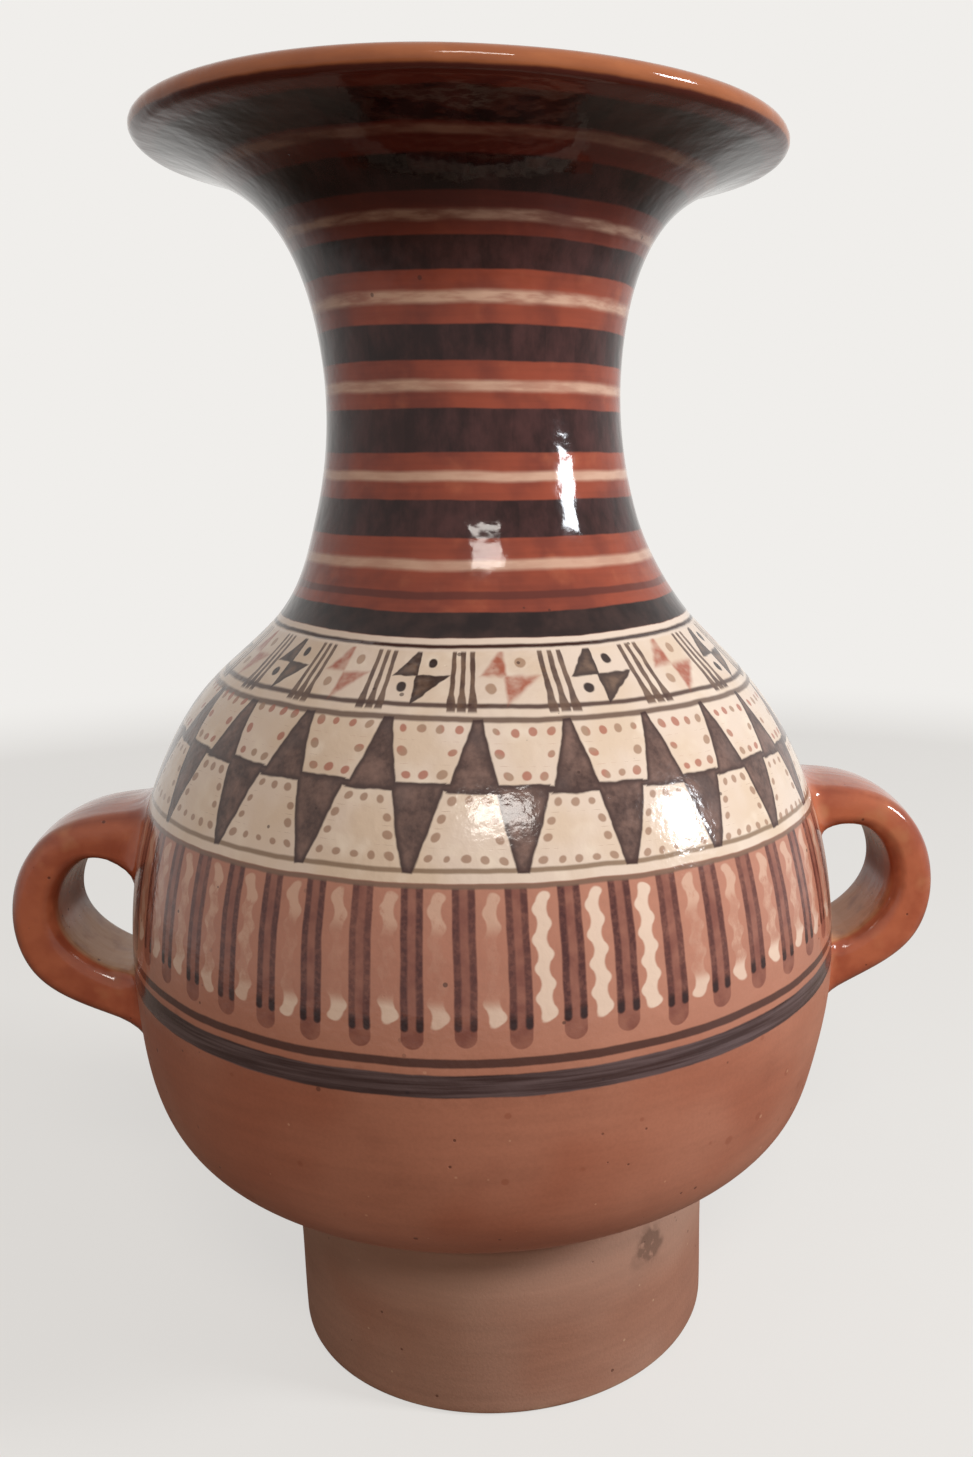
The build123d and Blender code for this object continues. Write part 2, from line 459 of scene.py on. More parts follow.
bowl_outside = smooth_line([(bowl_root_radius, foot_height), (92.0, 76.5),
                            (belly_radius, belly_height)], (1.0, 0.42), (0.0, 1.0))
bowl_inside = smooth_line([(belly_radius - belly_wall, belly_height), (92.5, 96.0), (85.0, 80.0),
                           (68.5, 68.0), (47.9, 59.6), (0.0, floor_high)],
                          (0.0, -1.0), (-1.0, 0.0), 2.5)
under_floor = smooth_line([(0.0, floor_low), (30.0, 51.6), (54.2, foot_height)],
                          (1.0, 0.0), step=3.0)
bowl = turn_on_wheel("bowl", under_floor + bowl_outside, bowl_inside, satin_glaze())
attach(bowl, "root")
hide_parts("lower_bowl")


# Shoulder: the upper half of the belly, with the painted friezes. Cream slip and brown and
# brick washes are brushed on by hand over the terracotta, then dipped in clear gloss glaze.

seat_height = 215.0
seat_radius = 56.6
neck_lean = (-1.0, 1.05)
neck_lean_down = (1.0, -1.05)
seat_bore = 48.6
cream = (225, 204, 186)
brown = (66, 43, 38)
brick = (164, 82, 58)
olive = (154, 116, 90)


def hand_height(finish):
    """Height in mm as the painter held it: lines sag a little at the front and tilt."""
    side = finish.at.sum("SINE", finish.turn)
    sag = finish.z.hump(216.0, 14.0) * 0.95 + finish.z.rise(160.0, 136.0) * 2.0
    tilt = finish.z.rise(140.0, 165.0) * finish.z.rise(212.0, 206.0) * 0.9 + 0.2
    held = finish.z - sag * side * side + tilt * side * finish.z.rise(232.0, 212.0)
    return held + finish.sway(19.0, 0.3) + finish.sway(4.0, 0.1, 17.0), side


def spaced(finish, shift, waves):
    """Degrees round the jar, stretched and squeezed as the painter's spacing was."""
    even = finish.degrees - shift
    for count, cosine, sine in waves:
        reach = math.hypot(cosine, sine)
        start = math.atan2(sine, cosine)
        wave = finish.at.sum("COSINE", finish.turn * float(count) - start)
        even = even - wave * reach
    return even


def line(finish, height, low, high, paint, strength=1.0):
    """A brushed line from low to high, a little thick and thin."""
    edge = 0.28
    mask = height.rise(low - edge, low + edge) * height.rise(high + edge, high - edge)
    finish.coat(paint, mask * strength)


def collar(finish, height):
    """Dark line, cream line and black band where the neck meets the shoulder."""
    line(finish, height, 213.4, 216.15, cream)
    line(finish, height, 214.05, 214.85, brown)
    soot = finish.cloud(6.0, 3.0, shift=8.0).rise(0.3, 0.75)
    black = finish.over((36, 23, 22), (62, 42, 38), soot)
    finish.coat(black, height.rise(215.95, 216.35) * height.rise(221.8, 221.3))


def lots(number):
    """Three random values from 0 to 1 for each whole number, as Red, Green and Blue."""
    lot = number.node("ShaderNodeTexWhiteNoise", {"W": number}, noise_dimensions="1D")
    return number.node("ShaderNodeSeparateColor", {0: lot["Color"]})


def stripe_zone(finish, height, wash, grain):
    """Broad brown strokes with two dark edges, and cream waves in the gaps between them."""
    stroke_pitch, stroke_gap = 7.2, 12.0
    broad_half, rail_out, rail_half, wave_half = 2.5, 1.75, 0.75, 1.9
    zone_top, wave_top = 167.7, 164.9
    ripple_rate, ripple_reach = 0.96, 0.62
    strokes = spaced(finish, -3.1, ((1, 0.3, 1.07), (2, -0.14, -0.12), (3, -0.66, -0.63)))
    strokes = strokes / stroke_pitch
    nearest = strokes.nearest()
    lot = lots(nearest)
    across = (strokes - nearest) * stroke_gap + finish.sway(12.0, 0.3, 6.0)
    stroke_foot = lot["Red"] * 1.6 + 131.9
    below = (stroke_foot + broad_half - height).most(0.0)
    in_zone = height.rise(zone_top, zone_top - 0.5)
    broad = across.away(below).rise(broad_half + 0.25, broad_half - 0.15) * in_zone
    finish.coat((122, 70, 60), broad * (0.56 + wash * 0.36))

    # The two dark edges, and the paint that gathers at their feet
    dark_foot = stroke_foot + 3.6 + lot["Green"] * 1.4
    rail = across.size() - rail_out
    low = (dark_foot + rail_half - height).most(0.0)
    rails = rail.away(low).rise(rail_half + 0.4, rail_half - 0.3) * in_zone
    spotted = grain.rise(0.35, 0.6) * 0.26 + wash * 0.16 + 0.3 + lot["Blue"] * 0.3
    finish.coat((78, 40, 38), rails * spotted)
    pool = rails * (height - dark_foot).rise(4.2, 1.8) * lot["Green"].rise(0.0, 0.35, 0.55, 1.0)
    finish.coat((44, 26, 28), pool * 0.92)

    # The waves, each with its own start, foot and lean
    cell = strokes.floor()
    gap = (strokes - cell - 0.5) * stroke_gap
    pick = lots(cell + 0.37)
    ripple = strokes.sum("SINE", height * ripple_rate + pick["Red"] * 6.0)
    wave_foot = pick["Green"] * 1.6 + 136.2
    beyond = (wave_foot + wave_half - height).most(0.0).most((height - wave_top).most(0.0))
    aside = gap - ripple * ripple_reach - (pick["Blue"] - 0.5) * 1.2
    wander = aside - finish.sway(11.0, 0.5, 35.0)
    plump = ripple.size() * 0.25 + (height - wave_foot).rise(9.0, 4.0) * 0.25 + 1.35
    wave = (wander.away(beyond) - plump).rise(0.35, -0.25)
    bold = finish.degrees.hump(14.5, 14.0).rise(0.05, 0.3)
    drop = (height - wave_foot).rise(7.6, 3.4) * (0.72 + pick["Blue"] * 0.25)
    smear = finish.cloud(3.6, 4.0, stretch=(1.0, 1.0, 0.7), shift=24.0, rough=0.66)
    tops = height.rise(156.0, 161.0) * smear.rise(0.26, 0.5)
    beside = finish.degrees.size().rise(25.0, 36.0)
    faint = smear.rise(0.38, 0.66) * (0.2 + beside * 0.45) + beside * 0.22
    wet = finish.over((208, 167, 144), (230, 204, 183), bold.most(drop))
    finish.coat(wet, wave * bold.most(drop).most(tops).most(faint) * 0.94)


def belly_lines(finish, height):
    """The two dark lines at the widest circle, brushed on the turning wheel."""
    streak = finish.cloud(7.0, 3.0, stretch=(0.25, 0.25, 7.0), shift=4.0).rise(0.3, 0.72)
    soot = finish.over((40, 29, 33), (98, 84, 86), streak * 0.75)
    line(finish, height, 128.1, 130.2, (66, 42, 40), 0.9)
    line(finish, height, 120.7, 126.35, soot, 0.94)


def cream_ground(finish, height):
    """Cream slip under both friezes, with the lines that bound them."""
    patch = finish.cloud(15.0, shift=33.0).rise(0.35, 0.68)
    light = finish.cloud(8.0, shift=71.0).rise(0.5, 0.8)
    slip = finish.over(cream, (215, 188, 159), patch * 0.6)
    slip = finish.over(slip, (233, 214, 194), light)
    finish.coat(slip, height.rise(168.1, 168.5))
    line(finish, height, 167.15, 168.25, (118, 92, 76), 0.85)
    line(finish, height, 170.35, 171.4, (128, 100, 74), 0.85)
    line(finish, height, 199.75, 200.85, (98, 72, 58), 0.9)
    line(finish, height, 202.35, 203.25, (76, 50, 42), 0.95)


def triangles(finish, height, side, wash, grain):
    """Lower frieze: dark triangles up and down from a middle line, dots on the cream fields.

    Up and down parts count from 0 at the middle line to 1 at the frieze's edge.
    """
    pitch = 360.0 / 23.0
    apex_shift = 5.73
    up_size, down_size = 13.1, 16.2
    up_degree, down_degree = 1.35, 1.45
    middle = 187.0 - side * 1.3 + finish.sway(30.0, 0.3, 44.0)
    up_part = (height - middle) / up_size
    down_part = (middle - height) / down_size
    ups = spaced(finish, -2.5, ((1, 0.9, 0.65), (2, 0.5, 0.4))) / pitch
    downs = ups - apex_shift / pitch

    off = (ups - ups.nearest()) * pitch
    left = up_part * 3.7 - 4.6
    right = 3.3 - up_part * 2.5
    up_depth = (off - left).least(right - off) * up_degree
    up_depth = up_depth.least(200.3 - height).least(height - middle + 1.0)
    off = (downs - downs.nearest()) * pitch
    left = down_part * 2.4 - 3.3
    right = 4.9 - down_part * 4.0
    down_depth = (off - left).least(right - off) * down_degree
    down_depth = down_depth.least(middle + 1.0 - height).least(height - 170.2)
    depth = up_depth.most(down_depth).most(0.8 - (height - middle).size())
    depth = depth + finish.sway(2.6, 0.18, 61.0) + finish.sway(7.0, 0.3, 77.0)
    thick = (wash * 0.8 + grain.rise(0.32, 0.68) * 0.25) * depth.rise(0.15, 1.6)
    dark = finish.over((58, 34, 32), (122, 92, 82), thick)
    cool = finish.cloud(11.0, shift=83.0).rise(0.5, 0.75) * 0.5
    dark = finish.over(dark, (88, 72, 70), cool * depth.rise(0.2, 1.2))
    finish.coat(dark, depth.rise(-0.24, 0.3) * 0.97)
    size = finish.cloud(6.0, 1.0, shift=27.0)
    upper_dots(finish, up_part, (ups - ups.floor()) * pitch, size)
    lower_dots(finish, down_part, (downs - downs.floor()) * pitch, size)


def upper_dots(finish, part, along, size):
    """Brick and olive dots in the fields above the middle line: three, two and four."""
    width = (part * 6.2 + 7.75) * 0.5
    a = (along - 7.175 - part * 0.6) / width
    second = part.rise(0.335, 0.345)
    third = part.rise(0.675, 0.685)
    low_row = (a / 0.62).nearest().within(-1.0, 1.0) * 0.62
    mid_row = a.sum("SIGN", a) * 0.75
    top_row = ((a / 0.48).floor().within(-2.0, 1.0) + 0.5) * 0.48
    want_a = low_row * (1.0 - second) + mid_row * (second - third) + top_row * third
    want_v = 0.19 + second * 0.33 + third * 0.34
    dx = (a - want_a) * width * 1.36 + finish.sway(7.0, 0.45, 91.0)
    dz = (part - want_v) * 15.9 + finish.sway(7.0, 0.5, 19.0)
    spot = dx.away(dz).rise(size * 0.9 + 0.78, size * 0.9 + 0.38)
    spot = spot * part.rise(0.02, 0.05) * part.rise(1.0, 0.97)
    hue = finish.over(brick, olive, finish.cloud(6.5, 1.0, shift=48.0).rise(0.46, 0.64))
    finish.coat(hue, spot * 0.76)


def lower_dots(finish, part, along, size):
    """Brown dots in the fields below the middle line: three, two, two and five."""
    width = (part * 6.4 + 7.45) * 0.5
    a = (along - 8.625 + part * 0.8) / width
    second = part.rise(0.275, 0.285)
    third = part.rise(0.485, 0.495)
    last = part.rise(0.72, 0.73)
    first_row = (a / 0.6).nearest().within(-1.0, 1.0) * 0.6
    side_row = a.sum("SIGN", a) * 0.79
    last_row = (a / 0.4).nearest().within(-2.0, 2.0) * 0.4
    want_a = first_row * (1.0 - second) + side_row * (second - last) + last_row * last
    want_v = 0.16 + second * 0.22 + third * 0.22 + last * 0.26
    dx = (a - want_a) * width * 1.5 + finish.sway(7.0, 0.45, 13.0)
    dz = (part - want_v) * 18.0 + finish.sway(7.0, 0.45, 29.0)
    spot = dx.away(dz).rise(size * 0.8 + 0.72, size * 0.8 + 0.3)
    spot = spot * part.rise(0.02, 0.05) * part.rise(0.985, 0.96)
    finish.coat((146, 104, 78), spot * 0.72)


def square_panels(finish, height):
    """Upper frieze: square panels between triple strokes, black and brick ones in turn."""
    panel_pitch, panel_gap = 20.0, 23.2
    panel_low, bar_gap = 203.3, 2.55
    squash = 1.38
    panels = spaced(finish, -0.53, ((1, -1.43, -3.41), (2, -1.35, -0.63), (3, -1.18, 0.47)))
    panels = panels / panel_pitch
    from_stroke = (panels - panels.nearest()) * panel_gap + finish.sway(6.0, 0.28, 37.0)
    which = (from_stroke / bar_gap).nearest().within(-1.0, 1.0)
    swell = finish.cloud(4.0, 1.0, shift=66.0) * 0.5
    thickness = swell + 0.42 + height.rise(205.6, 203.0) * 0.4
    bars = ((from_stroke - which * bar_gap).size() - thickness).rise(0.2, -0.2)
    bars = bars * height.rise(201.3, 202.0) * height.rise(214.3, 213.9)

    # Two corner triangles and two dots in each panel
    cell = panels.floor()
    black = panels.sum("FLOORED_MODULO", cell, 2.0)
    across = (panels - cell) * panel_gap - 3.9 + finish.sway(5.0, 0.3, 73.0)
    up = height - panel_low
    top_left = (up - 4.95).least(7.3 - across).least((across * 0.946 - up + 5.0) * 0.726)
    low_right = (5.35 - up).least(across - 6.5).least((up - (across - 7.6) * 0.641) * 0.842)
    motif = top_left.most(low_right) + finish.sway(2.4, 0.25, 55.0)
    blot = finish.cloud(3.2, shift=58.0).rise(0.3, 0.66)
    ink = finish.over((52, 33, 31), (126, 98, 80), blot * motif.rise(0.1, 1.6) * 0.7)
    finish.coat(ink, motif.rise(-0.15, 0.25) * black * 0.96)
    faded = motif.rise(-0.35, 0.9) * (1.0 - black) * (0.5 + blot * 0.42)
    finish.coat(brick, faded)
    high_dot = (across - 10.9).away((up - 7.8) * squash)
    low_dot = (across - 3.2).away((up - 2.7) * squash)
    dot = (high_dot.least(low_dot) + finish.sway(3.0, 0.25, 87.0)).rise(1.6, 1.1)
    dot_paint = finish.over((150, 108, 78), (48, 32, 30), black)
    finish.coat(dot_paint, dot * (black * 0.3 + 0.68))
    bar_paint = finish.over((70, 44, 38), (128, 100, 80), blot * 0.55)
    finish.coat(bar_paint, bars * 0.92)


def marked(finish, name):
    """A value from 0 to 1 that the mesh carries on its points."""
    return finish.at.node("ShaderNodeAttribute", out=2, attribute_name=name)


def glazed(finish, roughness, orange_peel):
    """Gloss glaze: wheel marks, orange peel and pinholes break up its highlights."""
    ripples = finish.cloud(16.0, 1.0, stretch=(0.3, 0.3, 1.0), shift=2.0)
    pinholes = finish.specks(5.0, 0.4, 0.25, 44.0)
    return finish.fired(roughness, ripples + orange_peel - pinholes * 0.12, 0.26)


def painted_friezes():
    """All of the shoulder's brushwork, from the stripes at the widest circle to the collar."""
    finish = Finish("painted friezes under gloss glaze")
    height, side = hand_height(finish)
    belly_skin(finish)
    finish.coat((196, 140, 118), finish.z.rise(117.5, 133.0) * 0.5)
    wash = finish.cloud(4.5, 3.0, shift=14.0).rise(0.28, 0.74)
    grain = finish.cloud(1.1, shift=52.0)
    stripe_zone(finish, height, wash, grain)
    belly_lines(finish, height)
    cream_ground(finish, height)
    triangles(finish, height, side, wash, grain)
    square_panels(finish, height)
    collar(finish, height)
    finish.coat((60, 38, 32), finish.specks(6.5, 0.8, 0.5, 12.0) * 0.7)
    inside = marked(finish, "inside")
    finish.coat((150, 92, 66), inside)
    satin = finish.z.rise(126.0, 118.0) * 0.3
    mottle = finish.cloud(12.0) * 0.14 * (1.0 + satin)
    peel = finish.cloud(7.0, shift=5.0) * 0.6 + finish.cloud(1.9, shift=9.0) * 0.32
    return glazed(finish, 0.06 + mottle + satin + inside * 0.4, peel)


shoulder_outside = smooth_line(
    [(belly_radius, belly_height), (92.5, 166.0), (73.0, 199.5), (seat_radius, seat_height)],
    (0.0, 1.0), neck_lean, 1.4)
shoulder_inside = smooth_line(
    [(seat_bore, seat_height), (62.7, 200.0), (76.1, 184.0), (87.1, 160.0), (92.6, 136.0),
     (belly_radius - belly_wall, belly_height)], neck_lean_down, (0.0, -1.0), 3.0)
shoulder = turn_on_wheel("painted_shoulder", shoulder_outside,
                         shoulder_inside + shoulder_outside[:1], painted_friezes())
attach(shoulder, "root")
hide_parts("shoulder")


# Neck: thrown by itself, drawn in to a throat and out to a thin flat lip, then luted onto
# the shoulder. Black bands and thin white lines go round it over a brick red slip.

lip_radius = 78.3
lip_edge_radius = 75.8
lip_low, lip_high = 324.0, 329.0
black_bands = [(237.8, 246.2), (256.8, 266.5), (276.7, 284.3), (295.2, 301.7),
               (309.3, 315.0), (319.2, 323.0)]
white_lines = [(230.5, 233.2, 0.82, 0.7), (250.3, 252.8, 0.88, 0.75), (270.0, 272.7, 0.85, 0.5),
               (288.3, 291.3, 0.9, 0.2), (304.2, 306.2, 0.7, 0.1), (317.7, 318.7, 0.4, 0.1)]


def painted_bands():
    """The neck's bands: red slip, black and white brushed on the turning wheel.

    A black band is given from low to high. A white line also has its strength, and how much
    of that stays where the brush ran dry.
    """
    stroke_degrees, stroke_height = 13.0, 19.5
    finish = Finish("painted neck bands under gloss glaze", refraction=1.34)
    height, side = hand_height(finish)
    worn = finish.cloud(13.0, 3.0).rise(0.4, 0.7)
    finish.paint = finish.over((146, 68, 47), (122, 56, 42), worn)
    pale = finish.cloud(9.0, 3.0, shift=9.0).rise(0.56, 0.8)
    finish.coat((170, 92, 64), pale * 0.6)
    # Darker wine red under the flaring lip: partly the slip's own colour, partly painted shade.
    finish.coat((92, 36, 34), height.rise(292.0, 312.0) * 0.75)
    streak = finish.cloud(8.0, 3.0, stretch=(0.25, 0.25, 5.0), shift=3.0).rise(0.3, 0.7)
    finish.deepen(1.06 - streak * 0.14)
    line(finish, height, 224.3, 226.0, (84, 40, 34), 0.75)
    blotch = finish.cloud(6.5, 4.0, stretch=(1.0, 1.0, 0.55), shift=27.0, rough=0.62)
    stroke = ((finish.degrees + finish.sway(9.0, 1.5, 3.0)) / stroke_degrees).floor()
    patch = stroke.node("ShaderNodeCombineXYZ",
                        {"X": stroke, "Y": (height / stroke_height).floor()})
    lap = stroke.node("ShaderNodeTexWhiteNoise", {"Vector": patch}, noise_dimensions="2D")
    thin = blotch.rise(0.34, 0.74) * 0.7 + lap * 0.3
    soot = finish.over((18, 8, 10), (76, 45, 44), thin)
    for low, high in black_bands:
        line(finish, height, low, high, soot, 0.96)
    patchy = finish.cloud(9.0, 3.0, stretch=(1.0, 1.0, 4.5), shift=44.0).rise(0.3, 0.66, 0.15)
    for low, high, strength, even in white_lines:
        middle = (low + high) / 2
        half = (high - low) / 2 + 0.45
        soft = (height + finish.sway(15.0, 0.3, middle)).hump(middle, half)
        soft = (soft * 1.5).least(1.0) * (patchy * (1.0 - even) + even)
        finish.coat((210, 172, 148), soft * strength)
    # Painted shade: everything under the flaring lip is darkened, by up to half at the top.
    finish.deepen(height.rise(294.0, 312.0, 1.0, 0.5))
    line(finish, height, 323.0, 325.0, (84, 34, 26), 0.9)
    on_lip = height.rise(324.8, 325.4)
    finish.coat((168, 100, 62), on_lip)
    finish.coat((128, 68, 44), on_lip * patchy * 0.3)
    collar(finish, height)
    inside = marked(finish, "inside")
    finish.coat((150, 86, 58), inside)
    finish.coat((62, 36, 30), finish.specks(6.5, 0.8, 0.4, 12.0) * 0.6)
    deep = inside * finish.z.rise(310.0, 280.0)
    roughness = 0.04 + finish.cloud(12.0) * 0.1 + deep * 0.4
    peel = finish.cloud(8.0, shift=5.0) * 0.9 + finish.cloud(2.2, shift=9.0) * 0.1
    return glazed(finish, roughness, peel)


neck_outside = smooth_line(
    [(seat_radius, seat_height), (41.9, 243.0), (38.6, 283.0), (50.4, 312.0),
     (lip_edge_radius, lip_low)], neck_lean, (1.0, 0.22), 1.4)
lip = smooth_line([(lip_edge_radius, lip_low), (lip_radius, (lip_low + lip_high) / 2),
                   (lip_edge_radius, lip_high)], (1.0, 0.1), (-1.0, 0.0), 0.8)
neck_inside = smooth_line(
    [(lip_edge_radius, lip_high), (58.9, 324.0), (46.2, 316.0), (36.0, 300.0), (32.4, 280.0),
     (33.8, 262.0), (36.6, 240.0), (41.0, 226.0), (seat_bore, seat_height)],
    (-1.0, -0.1), neck_lean_down, 2.0)
neck = turn_on_wheel("painted_neck", neck_outside + lip, neck_inside + neck_outside[:1],
                     painted_bands())
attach(neck, "root")
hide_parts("neck")


# Strap handles: pulled slabs of clay, bent into a loop by hand and pressed onto the belly.
# A roll of slip is smoothed round each root, and orange-brown glaze covers them.

strap_width = 32.0
strap_thickness = 12.5
strap_corner = 4.5
strap_flat = strap_width / 2 - strap_corner
crown_rise, crown_sink = 0.7, 0.5
root_radius, root_fall = 86.2, 14.0
top_rise, middle_rise = 49.5, 21.5
toe_radius, toe_drop = 101.7, 14.5
brow_inset, brow_drop = 12.5, 6.0
heel_inset, heel_drop = 3.8, 19.5
loop_top_radius, loop_top_rise = 108.2, 36.0
loop_bottom_radius, loop_bottom_rise = 103.7, 2.5
loop_droop = 1.5
skin_sink, root_sink = 0.12, 1.6
bare_top, bare_fade = 142.0, 14.0
ring_steps = 7
stations = 160
lengthwise = 64


def handle_glaze():
    """Glossy orange-brown, thin and red on the edges, pale buff low inside the loop: partly bare
    clay, partly painted reflection.
    """
    finish = Finish("orange-brown handle glaze")
    worn = finish.cloud(11.0, 3.0).rise(0.35, 0.7)
    finish.paint = finish.over((184, 103, 71), (160, 81, 55), worn)
    pale = finish.cloud(8.0, shift=19.0).rise(0.55, 0.8)
    finish.coat((186, 122, 84), pale * 0.6)
    edge = marked(finish, "edge") * finish.cloud(7.0, shift=31.0).rise(0.2, 0.6)
    finish.coat((116, 52, 36), edge * 0.55)
    hollow = marked(finish, "hollow")
    # Pale buff low inside each loop: partly bare clay, partly a painted reflection of the bright
    # surroundings.
    buff_and_reflection = finish.over((184, 150, 120), (202, 148, 108), finish.x.rise(-10.0, 10.0))
    stain = finish.cloud(7.0, 3.0, shift=51.0).rise(0.45, 0.75)
    buff_and_reflection = finish.over(buff_and_reflection, (128, 84, 66), stain * 0.6)
    finish.coat(buff_and_reflection, hollow * 0.85)
    iron = finish.specks(4.0, 0.7, 0.3, 31.0)
    finish.coat((84, 42, 30), iron * 0.75)
    roughness = 0.05 + finish.cloud(9.0) * 0.14 + hollow * 0.2
    pulled = finish.cloud(8.0, stretch=(0.5, 1.6, 0.5), shift=2.0)
    peel = finish.cloud(2.0) * 0.2
    return finish.fired(roughness, pulled + peel - iron * 0.3, 0.22)


def belly_surface():
    """The finished bowl and shoulder, as one surface that the roots are pressed onto."""
    places = []
    faces = []
    for piece in (bowl, shoulder):
        first = len(places)
        places += [v.co.copy() for v in piece.data.vertices]
        faces += [[first + i for i in face.vertices] for face in piece.data.polygons]
    return BVHTree.FromPolygons(places, faces)


def strap_ring():
    """The strap's rounded section, as (across, through, cosine, sine) for each point.

    Across is a corner's centre in mm, through is 1 on the outer face and -1 on the inner
    one, and the last two turn round that corner. Both faces have four points in between.
    """
    ring = []
    for across, through, start in ((1, 1, 0.0), (-1, 1, 90.0), (-1, -1, 180.0), (1, -1, 270.0)):
        for turn in np.linspace(start, start + 90.0, ring_steps):
            angle = math.radians(turn)
            ring.append((across * strap_flat, through, math.cos(angle), math.sin(angle)))
        if start in (0.0, 180.0):
            for share in (0.2, 0.4, 0.6, 0.8):
                place = across * strap_flat * (1.0 - 2.0 * share)
                ring.append((place, through, 0.0, float(through)))
    return ring


def strap_lines(ring, side, stand, lift, swell):
    """One line along the strap for each point of its section, and the strap's middle line."""
    reach = belly_radius + stand
    base = belly_height + lift
    top, middle, toe = base + top_rise, base + middle_rise, base - toe_drop
    loop_top, loop_bottom = base + loop_top_rise, base + loop_bottom_rise
    back = smooth_line([(root_radius, top), (reach - brow_inset, top - brow_drop),
                        (reach, middle), (reach - heel_inset, middle - heel_drop),
                        (toe_radius, toe), (root_radius, toe - root_fall)],
                       (1.0, 0.0), (-0.6, -1.0), 0.5)
    palm = smooth_line([(root_radius, loop_top - swell), (loop_top_radius, loop_top),
                        (reach - strap_thickness, middle - loop_droop),
                        (loop_bottom_radius, loop_bottom),
                        (root_radius, loop_bottom - strap_corner)],
                       (1.0, 0.0), (-1.0, -0.25), 0.5)
    sections = []
    for share in np.linspace(0.0, 1.0, stations):
        outer = np.array(back[int(round(share * (len(back) - 1)))])
        inner = np.array(palm[int(round(share * (len(palm) - 1)))])
        sections.append((outer, inner))
    lines = []
    for across, through, c, s in ring:
        run = []
        for outer, inner in sections:
            half = np.linalg.norm(outer - inner) / 2
            corner = min(strap_corner, half * 0.8)
            depth = through * (half - corner) + corner * s
            if through > 0 and abs(s) > 0.3:
                crown = crown_rise * (1.0 - (across / strap_flat) ** 2) - crown_sink
                depth += crown * abs(s)
            q = (outer + inner) / 2 + (outer - inner) / (2 * half) * depth
            run.append(Vector((side * q[0] * MM, (across + corner * c) * MM, q[1] * MM)))
        lines.append(run)
    heart = [Vector((side * q[0] / 2 * MM, 0.0, q[1] / 2 * MM)) for q in map(sum, sections)]
    return lines, heart


def part_way(path, lengths, distance):
    """The point of a path at a distance from its start."""
    for k in range(len(path) - 1):
        if lengths[k + 1] >= distance:
            t = (distance - lengths[k]) / max(lengths[k + 1] - lengths[k], 1e-9)
            return path[k].lerp(path[k + 1], t)
    return path[-1]


def seat(run, way, roll, heart):
    """Half of one line along the strap, from the loop's middle to its root on the belly.

    The points go down the strap and over the roll of slip, and end under the belly's skin.
    """
    i = len(run) // 2
    path = [run[i]]
    hit = None
    while hit is None:
        a, b = run[i], run[i + way]
        hit, normal = skin.ray_cast(a, (b - a).normalized(), (b - a).length)[:2]
        if hit is None:
            path.append(b)
            i += way
    path.append(hit)
    if normal.dot(hit - Vector((0.0, 0.0, hit.z))) < 0.0:
        normal = -normal
    lengths = [0.0]
    for a, b in zip(path, path[1:]):
        lengths.append(lengths[-1] + (b - a).length)
    stop = lengths[-1] - roll * MM
    points = [part_way(path, lengths, stop * k / lengthwise) for k in range(lengthwise + 1)]
    outward = hit - heart[i]
    outward -= normal * outward.dot(normal)
    outward.normalize()
    end = skin.find_nearest(hit + outward * roll * 0.8 * MM)[0] - normal * skin_sink * MM
    start = points[-1]
    for t in (0.2, 0.4, 0.6, 0.8, 1.0):
        points.append(start.lerp(hit, t).lerp(hit.lerp(end, t), t))
    points.append(end - normal * root_sink * MM)
    return points


def strap_handle(name, node, side, stand, lift, swell, roll):
    """One handle: rings of points along the loop, with its ends flared onto the belly.

    Its points carry two marks for the glaze: edge, and hollow for the loop's low inside.
    """
    ring = strap_ring()
    lines, heart = strap_lines(ring, side, stand, lift, swell)
    verts, faces, edge, hollow = [], [], [], []
    for (across, through, c, s), run in zip(ring, lines):
        spread = roll * (0.5 + 0.5 * abs(s))
        strip = seat(run, -1, spread, heart)[::-1] + seat(run, 1, spread, heart)[1:]
        rounding = 1.0 - abs(math.atan2(abs(s), abs(c)) / (math.pi / 2) - 0.5) * 2.0
        for q in strip:
            verts.append(tuple(q))
            edge.append(rounding if abs(c) > 0.01 else 0.0)
            low = min(max((bare_top - q.z / MM) / bare_fade, 0.0), 1.0)
            hollow.append(low if through < 0 and abs(c) < 0.3 else 0.0)
    rounds = len(ring)
    count = len(verts) // rounds
    for k in range(rounds):
        m = (k + 1) % rounds
        for j in range(count - 1):
            faces.append((k * count + j, k * count + j + 1, m * count + j + 1, m * count + j))
    faces.append(tuple(k * count for k in range(rounds)))
    faces.append(tuple(k * count + count - 1 for k in reversed(range(rounds))))
    mesh = bpy.data.meshes.new(name)
    mesh.from_pydata(verts, [], faces)
    for label, values in (("edge", edge), ("hollow", hollow)):
        mesh.attributes.new(label, "FLOAT", "POINT").data.foreach_set("value", values)
    mesh.materials.append(glaze)
    mesh.shade_smooth()
    volume = sum(mesh.vertices[f.vertices[0]].co.dot(f.normal) * f.area for f in mesh.polygons)
    if volume < 0.0:
        mesh.flip_normals()
    piece = bpy.data.objects.new(name, mesh)
    put_in_scene(piece)
    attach(piece, "root")
    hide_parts(node)


glaze = handle_glaze()
skin = belly_surface()
strap_handle("left_strap", "left_handle", -1, stand=31.1, lift=-1.5, swell=8.0, roll=9.0)
strap_handle("right_strap", "right_handle", 1, stand=29.0, lift=1.5, swell=1.0, roll=6.5)


# Floor: a wide pale table top that goes over into the plain background far behind the jar.

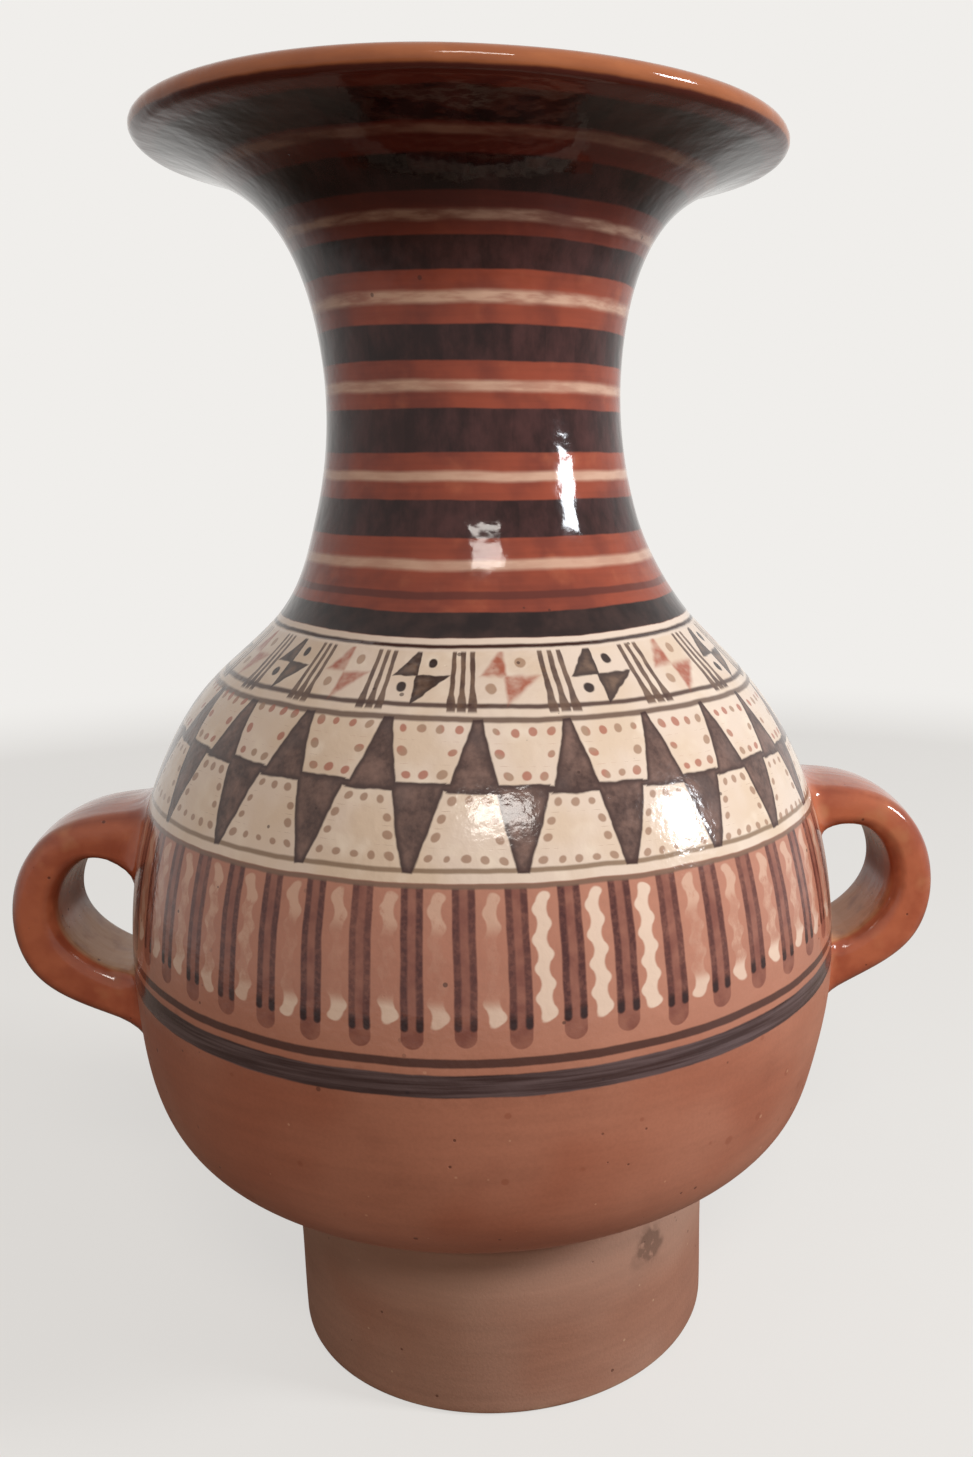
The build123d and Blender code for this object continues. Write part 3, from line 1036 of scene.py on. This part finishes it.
floor_colour = (226, 222, 216)
background = colour(240, 238, 235)
room_fill = (0.24, 0.22, 0.205, 1.0)
floor_radius = 3.0
floor_steps = 96
fade_starts, fade_ends = 350.0, 1200.0
glow_share = 0.7


def looked_at(rays):
    """One for what the camera sees, straight or by way of a gloss, and else nothing."""
    return rays["Is Camera Ray"].most(rays["Is Glossy Ray"]).most(rays["Is Transmission Ray"])


def floor_finish():
    """Matte pale floor near the jar, plain background colour far from it."""
    finish = Finish("pale floor")
    tree = finish.material.node_tree
    far = finish.x.away(finish.y).rise(fade_starts, fade_ends)
    grain = finish.cloud(30.0, 3.0).rise(0.3, 0.7)
    rays = finish.at.node("ShaderNodeLightPath")
    camera_ray = rays["Is Camera Ray"]
    pale = finish.over(floor_colour, (222, 217, 210), grain * 0.3)
    table = finish.over((150, 132, 118), pale, camera_ray)
    glow = finish.at.node("ShaderNodeEmission", {"Color": background, "Strength": 1.0})
    mixed = finish.at.node("ShaderNodeMixShader",
                           {0: far.most(camera_ray * glow_share) * looked_at(rays)})
    tree.links.new(table.socket, finish.shader.inputs["Base Color"])
    tree.links.new(finish.shader.outputs[0], mixed.socket.node.inputs[1])
    tree.links.new(glow.socket, mixed.socket.node.inputs[2])
    tree.links.new(mixed.socket, tree.nodes["Material Output"].inputs["Surface"])
    return finish.material


angles = [math.tau * k / floor_steps for k in range(floor_steps)]
rim = [(floor_radius * math.cos(angle), floor_radius * math.sin(angle), 0.0) for angle in angles]
floor_mesh = bpy.data.meshes.new("floor")
floor_mesh.from_pydata(rim, [], [tuple(range(floor_steps))])
floor_mesh.materials.append(floor_finish())
floor = bpy.data.objects.new("floor", floor_mesh)
put_in_scene(floor)

world = bpy.data.worlds.new("studio")
bpy.context.scene.world = world
world.use_nodes = True
backdrop = world.node_tree.nodes["Background"]
room = Wash(world.node_tree, backdrop.outputs[0])
seen = looked_at(room.node("ShaderNodeLightPath"))
tint = room.node("ShaderNodeMix", {0: seen, 6: room_fill, 7: background}, 2, data_type="RGBA")
world.node_tree.links.new(tint.socket, backdrop.inputs["Color"])


# Studio: a soft lamp above the front and a stronger one at the right, and the camera where
# the photograph was taken from.

aim = Vector((0.0, 0.0, 0.19))
lamp_distance = 1.1
photo_width, photo_height = 973.0, 1457.0
focal_pixels = 1252.3633
centre_across, centre_down = 602.7717, 896.4685
yaw, pitch, roll = 0.0952733, 0.3371390, -0.00089807
stand_point = (0.0, -0.350, 0.255679)
sensor = 36.0


def softbox(name, azimuth, elevation, width, height, power, tint):
    """A rectangular soft lamp, aimed at the jar from an azimuth round from the front."""
    a, e = math.radians(azimuth), math.radians(elevation)
    way = Vector((math.sin(a) * math.cos(e), -math.cos(a) * math.cos(e), math.sin(e)))
    lamp = bpy.data.lights.new(name, "AREA")
    lamp.shape = "RECTANGLE"
    lamp.size = width
    lamp.size_y = height
    lamp.energy = power
    lamp.color = tint
    holder = bpy.data.objects.new(name, lamp)
    turned = way.to_track_quat("Z", "Y").to_matrix().to_4x4()
    holder.matrix_world = Matrix.Translation(aim + way * lamp_distance) @ turned
    put_in_scene(holder)


softbox("front_lamp", 5.0, 39.0, 0.34, 0.18, 4.4, (1.0, 0.95, 0.89))
softbox("right_lamp", 70.0, 22.0, 0.22, 0.24, 9.8, (0.9, 0.95, 1.0))

forward = Vector((math.sin(yaw) * math.cos(pitch), math.cos(yaw) * math.cos(pitch),
                  -math.sin(pitch)))
level = Vector((math.cos(yaw), -math.sin(yaw), 0.0))
down = forward.cross(level)
across = level * math.cos(roll) + down * math.sin(roll)
down = down * math.cos(roll) - level * math.sin(roll)
lens = bpy.data.cameras.new("camera")
lens.sensor_width = sensor
lens.lens = focal_pixels * sensor / photo_height
lens.shift_x = (photo_width / 2 - centre_across) / photo_height
lens.shift_y = (centre_down - photo_height / 2) / photo_height
lens.clip_start = 0.01
lens.clip_end = 50.0
camera = bpy.data.objects.new("camera", lens)
axes = Matrix((across, -down, -forward)).transposed().to_4x4()
camera.matrix_world = Matrix.Translation(stand_point) @ axes
put_in_scene(camera)
bpy.context.scene.camera = camera
bpy.context.scene.view_settings.view_transform = "Standard"
